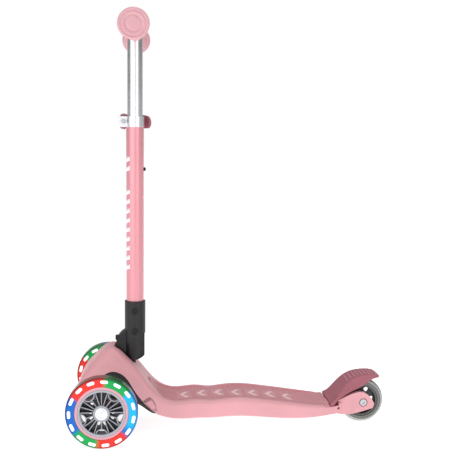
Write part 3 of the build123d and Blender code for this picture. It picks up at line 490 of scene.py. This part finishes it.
def dress_all():
    """Gives every node its finish."""
    dress(look["deck"], "deck")
    dress(look["tread"], "deck_tread")
    dress(look["brake"], "rear_brake", "clamp_lever")
    dress(look["black"], "steering_housing", "housing_cover", "fold_socket", "fold_tongue",
          "fold_button", "guide_bush")
    dress(look["steel"], "kingpins", "cover_screws", "fold_pin", "rear_axle", "rear_axle_nut",
          "rear_axle_spacers", "brake_pin", "brake_spring", "centring_springs", "tie_rod",
          "fold_button_spring", "clamp_bolt", "clamp_nut", "snap_spring", "rear_wheel_bearings")
    dress(look["dark"], "snap_button", "socket_screws")
    dress(look["silver"], "upper_tube", "handlebar_tube")
    dress(look["collar"], "clamp_collar")
    dress(look["paint"], "lower_tube")
    for hand, centre in front_wheels.items():
        turn = 0.0 if hand == "left" else LAMP_TURN
        dress(lit_tyre(f"{hand}_lit_tyre", centre, turn), f"{hand}_front_tyre")
        dress(look["lamp"], f"{hand}_light_windows")
        dress(look["ring"], f"{hand}_trim_ring")
        dress(look["collar"], f"{hand}_hub_cap")
        dress(look["steel"], f"{hand}_front_axle", f"{hand}_wheel_bearings")
        dress(look["black"], f"{hand}_kingpin_bush")
        dress(look["knuckle"], f"{hand}_steering_knuckle")
        dress(look["dark"], f"{hand}_magnet_ring")
        dress(look["copper"], f"{hand}_light_coil")
        core = recess_shaded_core(
            f"{hand}_core", centre, linear(168, 170, 178), linear(38, 41, 48), 8.9 * MM, 6.5 * MM
        )
        dress(core, f"{hand}_wheel_core")
    dress(clear_tyre("clear_tyre", rear_wheel, half_size("rear_tyre").x), "rear_tyre")
    core = recess_shaded_core(
        "rear_core", rear_wheel, linear(92, 94, 94), linear(40, 42, 42), 11.0 * MM, 3.0 * MM
    )
    dress(core, "rear_wheel_core")


# --- pieces made here -----------------------------------------------------------------------


def new_piece(name, verts, faces, finish, body):
    """A mesh piece that rides on a body."""
    mesh = bpy.data.meshes.new(name)
    mesh.from_pydata(verts, [], faces)
    shape = bmesh.new()
    shape.from_mesh(mesh)
    bmesh.ops.recalc_face_normals(shape, faces=shape.faces)
    shape.to_mesh(mesh)
    shape.free()
    mesh.materials.append(finish)
    mesh.shade_smooth()
    piece = bpy.data.objects.new(name, mesh)
    scene.collection.objects.link(piece)
    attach(piece, body)
    return piece


def ray_tree(node):
    """A node's mesh, ready for rays."""
    mesh = nodes[node].data
    return BVHTree.FromPolygons(
        [v.co for v in mesh.vertices], [tuple(p.vertices) for p in mesh.polygons]
    )


def join_rings(faces, base, rings, count):
    """Quads between closed rings of vertices that follow each other from base."""
    for ring in range(rings - 1):
        for k in range(count):
            a, b = base + ring * count + k, base + ring * count + (k + 1) % count
            faces.append((a, b, b + count, a + count))


def surface(node):
    """Looks straight down at a node and gives the place and normal hit."""
    tree = ray_tree(node)

    def hit(x, y):
        place, normal, _, _ = tree.ray_cast(Vector((x, y, 1.0)), Vector((0, 0, -1)))
        return place, normal

    return hit


def lathe(centre, side, profile, segments=96):
    """Turned form about an axis along Y: profile holds (distance outwards, radius)."""
    verts, faces = [], []
    for out, r in profile:
        for k in range(segments):
            a = 2 * pi * k / segments
            verts.append((centre.x + r * cos(a), side * out, centre.z + r * sin(a)))
    join_rings(faces, 0, len(profile), segments)
    last = (len(profile) - 1) * segments
    faces.append(tuple(range(segments)))
    faces.append(tuple(range(last, last + segments)))
    return verts, faces


def add_dome(verts, faces, place, normal, r, height, sides=8):
    """A low rounded stud on a surface."""
    across = normal.orthogonal().normalized()
    along = normal.cross(across)
    base = len(verts)
    for share, lift in ((1.0, -0.1), (0.8, 0.7), (0.4, 1.0)):
        for k in range(sides):
            a = 2 * pi * k / sides
            spot = place + (across * cos(a) + along * sin(a)) * r * share
            verts.append(tuple(spot + normal * height * lift))
    join_rings(faces, base, 3, sides)
    faces.append(tuple(base + 2 * sides + k for k in range(sides)))


def add_pad(verts, faces, outline, hit, thick, steps=6):
    """A flat raised shape laid on a surface: outline is a closed run of (x, y)."""
    run = []
    for (x0, y0), (x1, y1) in zip(outline, outline[1:] + outline[:1]):
        for k in range(steps):
            t = k / steps
            run.append((x0 + (x1 - x0) * t, y0 + (y1 - y0) * t))
    base = len(verts)
    mid_x = sum(x for x, _ in run) / len(run)
    mid_y = sum(y for _, y in run) / len(run)
    for lift in (-0.2, 0.8, 1.0):
        grow = 1.0 if lift < 1.0 else 0.9
        for x, y in run:
            px, py = mid_x + (x - mid_x) * grow, mid_y + (y - mid_y) * grow
            place, normal = hit(px, py)
            verts.append(tuple(place + normal * thick * lift))
    count = len(run)
    join_rings(faces, base, 3, count)
    faces.append(tuple(base + 2 * count + k for k in range(count)))


# --- tread ---------------------------------------------------------------------------------

STUD_PITCH = 4.2 * MM
FIRST_MARK = 74 * MM          # from the tread's rear edge
MARK_PITCH = 31 * MM
MARK_COUNT = 7
PIP_PITCH = 6.5 * MM
PIP_SPREAD = 5.6 * MM


def on_tread(x, y, margin):
    """Whether a place lies on the tread, clear of its edge."""
    low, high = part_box("deck_tread")
    nose = high.x - 60 * MM
    half = high.y - margin
    if x < low.x + margin or x > high.x - 14 * MM:
        return False
    if x > nose:
        half *= 1.0 - ((x - nose) / (high.x - nose)) ** 2 * 0.9
    return abs(y) < half


def tread_pieces():
    """Plain chevrons down the tread, with small studs round them."""
    low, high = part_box("deck_tread")
    hit = surface("deck_tread")
    marks = [low.x + FIRST_MARK + MARK_PITCH * k for k in range(MARK_COUNT)]
    verts, faces = [], []
    for x in marks:
        for hand in (1, -1):
            wing = hand * 16 * MM
            arm = [(x, 0.0), (x + 7 * MM, 0.0), (x - 3 * MM, wing), (x - 10 * MM, wing)]
            add_pad(verts, faces, arm, hit, 0.9 * MM)
    new_piece("tread_marks", verts, faces, look["mark"], "chassis")
    verts, faces = [], []
    rows = int((high.x - low.x) / STUD_PITCH)
    columns = int(high.y / STUD_PITCH) + 1
    for i in range(rows):
        for j in range(-columns, columns + 1):
            x = low.x + i * STUD_PITCH
            y = (j + 0.5 * (i % 2)) * STUD_PITCH
            if not on_tread(x, y, 3.5 * MM):
                continue
            if any(-13 * MM < x - mark < 10 * MM for mark in marks) and abs(y) < 19 * MM:
                continue
            place, normal = hit(x, y)
            if place and normal.z > 0.6:
                add_dome(verts, faces, place, normal, 1.35 * MM, 0.75 * MM)
    new_piece("tread_studs", verts, faces, look["tread"], "chassis")


def brake_marks():
    """Small raised pips on the fender brake, where the foot presses."""
    low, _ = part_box("rear_brake")
    hit = surface("rear_brake")
    verts, faces = [], []
    for i in range(9):
        for j in range(-3, 4):
            x = low.x + 9 * MM + PIP_PITCH * i
            y = (j + 0.5 * (i % 2)) * PIP_SPREAD
            place, normal = hit(x, y)
            if place and normal.z > 0.45 and abs(y) < 19 * MM:
                add_dome(verts, faces, place, normal, 1.5 * MM, 0.9 * MM, 10)
    new_piece("brake_pips", verts, faces, look["brake_pip"], "brake")


# --- column ----------------------------------------------------------------------------------

CAM_MID = -14.3               # the lever's cam, beside the column, in millimetres
CAM_HEIGHT = 8.0
BLADE_HALF = 1.75             # half the blade's thickness, in millimetres
BLADE_CORNERS = 8


def tube_marks():
    """Plain slanted bars printed round the front of the painted tube."""
    verts, faces = [], []
    r = lower_tube_r + 0.12 * MM
    rise = 5.0 * MM
    heights = [0.279 + 0.0165 * k for k in range(9)] + [0.452, 0.4685]
    for z in heights:
        base = len(verts)
        steps = 14
        for k in range(steps + 1):
            a = radians(-56 + 112 * k / steps)
            lift = rise * sin(a)
            for edge in (0.0, 7.5 * MM):
                verts.append((column_x + r * cos(a), r * sin(a), z + lift + edge))
        for k in range(steps):
            a = base + 2 * k
            faces.append((a, a + 2, a + 3, a + 1))
    piece = new_piece("tube_marks", verts, faces, look["print"], "column_lower")
    skin = piece.modifiers.new("skin", "SOLIDIFY")
    skin.thickness = 0.1 * MM
    skin.offset = 1.0


def grips():
    """Soft grips: ribbed handles and discs with turned rings in their faces."""
    inner, outer = 17.4, half_size("handlebar_tube").y / MM + 9.0
    for hand, side in (("left", 1), ("right", -1)):
        profile = [(inner, 11.2), (inner, 15.5), (inner + 0.8, 16.4), (inner + 4.0, 16.4),
                   (inner + 5.2, 15.4)]
        ribs = 17
        start, end = inner + 8.0, outer - 17.0
        for k in range(ribs):
            at = start + (end - start) * k / (ribs - 1)
            profile += [(at - 1.5, 14.2), (at - 0.9, 15.0), (at + 0.9, 15.0), (at + 1.5, 14.2)]
        profile += [
            (outer - 13.0, 15.0), (outer - 10.5, 18.0), (outer - 8.2, 22.5), (outer - 7.0, 24.8),
            (outer - 5.6, 25.8), (outer - 3.4, 26.0), (outer - 1.8, 25.6), (outer - 0.6, 24.6),
            (outer - 0.05, 23.2), (outer - 0.05, 22.0), (outer - 0.9, 21.4), (outer - 1.3, 20.6),
            (outer - 1.3, 19.9), (outer - 0.6, 19.3), (outer - 0.5, 18.0), (outer - 0.5, 14.4),
            (outer - 1.1, 13.9), (outer - 1.5, 13.2), (outer - 1.5, 12.5), (outer - 0.9, 11.9),
            (outer - 0.7, 11.0), (outer - 0.45, 7.0), (outer - 0.3, 3.0), (outer - 0.25, 0.3),
        ]
        scaled = [(d * MM, r * MM) for d, r in profile]
        verts, faces = lathe(bar, side, scaled)
        piece = new_piece(f"{hand}_grip_skin", verts, faces, look["grip"], "column_upper")
        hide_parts(f"{hand}_grip")


def lever_skin():
    """Clamp lever: a curved blade that narrows to a rounded, hooked tip."""
    low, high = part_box("clamp_lever")
    base, rise = low.z / MM, (high.z - low.z) / MM
    ear = middle("clamp_bolt").x / MM
    column = column_x / MM
    route = bpy.data.curves.new("lever_route", "CURVE")
    run = route.splines.new("NURBS")
    points = [(ear + 4.0, CAM_MID - 3.0), (column + 13.0, -22.2), (column + 2.0, -23.0),
              (column - 8.0, -22.0), (column - 19.0, -18.0), (column - 24.6, -11.5),
              (column - 26.6, -6.0)]
    run.points.add(len(points) - 1)
    for point, (x, y) in zip(run.points, points):
        point.co = (x, y, 0.0, 1.0)
    run.order_u = 3
    run.use_endpoint_u = True
    run.resolution_u = 8
    holder = bpy.data.objects.new("lever_route", route)
    line = [Vector(v.co) for v in bpy.data.meshes.new_from_object(holder).vertices]
    bpy.data.objects.remove(holder)
    verts, faces = [], []
    count = len(line)
    half = BLADE_HALF
    for i, spot in enumerate(line):
        ahead = (line[min(i + 1, count - 1)] - line[max(i - 1, 0)]).normalized()
        side = Vector((-ahead.y, ahead.x, 0.0))
        t = i / (count - 1)
        tip = max(0.0, (t - 0.8) / 0.2)
        top = base + rise - 5.0 * max(0.0, (t - 0.45) / 0.55) ** 1.5 - 6.0 * tip ** 3
        foot = base + 1.0 * t + 5.0 * tip ** 3
        for out, z in (
            (-half, foot + 1.2), (-half + 0.8, foot), (half - 0.8, foot), (half, foot + 1.2),
            (half, top - 1.2), (half - 0.8, top), (-half + 0.8, top), (-half, top - 1.2),
        ):
            place = spot + side * out
            verts.append((place.x * MM, place.y * MM, z * MM))
    join_rings(faces, 0, count, BLADE_CORNERS)
    faces.append(tuple(range(BLADE_CORNERS)))
    faces.append(tuple(range(BLADE_CORNERS * (count - 1), BLADE_CORNERS * count)))
    sides = 32
    for foot in (base, base + rise - CAM_HEIGHT):
        start = len(verts)
        for r, z in ((5.2, 0.0), (6.0, 0.8), (6.0, CAM_HEIGHT - 0.8), (5.2, CAM_HEIGHT)):
            for k in range(sides):
                a = 2 * pi * k / sides
                place = Vector((ear + r * cos(a), CAM_MID + r * sin(a), foot + z))
                verts.append(tuple(place * MM))
        join_rings(faces, start, 4, sides)
        faces.append(tuple(range(start, start + sides)))
        faces.append(tuple(range(start + 3 * sides, start + 4 * sides)))
    piece = new_piece("lever_blade", verts, faces, look["brake"], "lever")
    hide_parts("clamp_lever")


SKIN_SWELL = 1.3              # in millimetres


def arch_skins():
    """Hides a fault in the CAD: the notch in each side wall behind the arch.

    The real scooter has no such piece. Each skin swells so that the black housing
    doesn't show through, and it should go when the deck is mended.
    """
    axle = front_wheels["left"].x
    rear = [(92.0, 37.5), (90.5, 44.0), (89.0, 51.0), (85.0, 58.0), (79.0, 63.5)]
    front = [(87.5, 36.5), (81.3, 41.5), (75.9, 47.0), (70.5, 52.5), (66.9, 57.0)]
    tree = ray_tree("deck")
    wall = half_size("deck_tread").y + 7 * MM
    columns = 7
    for hand, side in (("left", 1), ("right", -1)):
        spots, known = [], []
        for (s0, z0), (s1, z1) in zip(rear, front):
            for k in range(columns):
                t = k / (columns - 1)
                x, z = axle - (s0 + (s1 - s0) * t) * MM, (z0 + (z1 - z0) * t) * MM
                place, _, _, _ = tree.ray_cast(Vector((x, side * 0.2, z)), Vector((0, -side, 0)))
                spots.append((x, z))
                if place and abs(place.y) > wall:
                    known.append((x, z, abs(place.y)))
        verts, faces = [], []
        for index, (x, z) in enumerate(spots):
            row, column = divmod(index, columns)
            swell = sin(pi * row / (len(rear) - 1)) * sin(pi * column / (columns - 1))
            weights = [(1.0 / ((x - a) ** 2 + (z - b) ** 2 + 1e-9) ** 1.5, y) for a, b, y in known]
            y = sum(w * y for w, y in weights) / sum(w for w, _ in weights)
            verts.append((x, side * (y + (0.05 + SKIN_SWELL * swell) * MM), z))
        for i in range(len(rear) - 1):
            for k in range(columns - 1):
                a = i * columns + k
                faces.append((a, a + 1, a + columns + 1, a + columns))
        piece = new_piece(f"{hand}_arch_skin", verts, faces, look["deck"], "chassis")
        skin = piece.modifiers.new("skin", "SOLIDIFY")
        skin.thickness = 0.1 * MM
        skin.offset = -1.0


def cap_rings():
    """Turned rings on each front hub cap, in place of its badge."""
    for hand, side in (("left", 1), ("right", -1)):
        centre = front_wheels[hand]
        face = abs(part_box(f"{hand}_hub_cap")[1 if side > 0 else 0].y) / MM
        profile = [(face - 0.6, 0.3), (face + 0.5, 0.3), (face + 0.5, 3.0), (face + 0.1, 3.4),
                   (face + 0.1, 5.6), (face + 0.5, 6.0), (face + 0.5, 7.0), (face - 0.2, 7.6),
                   (face - 0.6, 7.6)]
        verts, faces = lathe(centre, side, [(d * MM, r * MM) for d, r in profile])
        new_piece(f"{hand}_cap_rings", verts, faces, look["collar"], f"{hand}_wheel")


make_camera()
make_studio()
dress_all()
tread_pieces()
brake_marks()
tube_marks()
grips()
lever_skin()
cap_rings()
arch_skins()
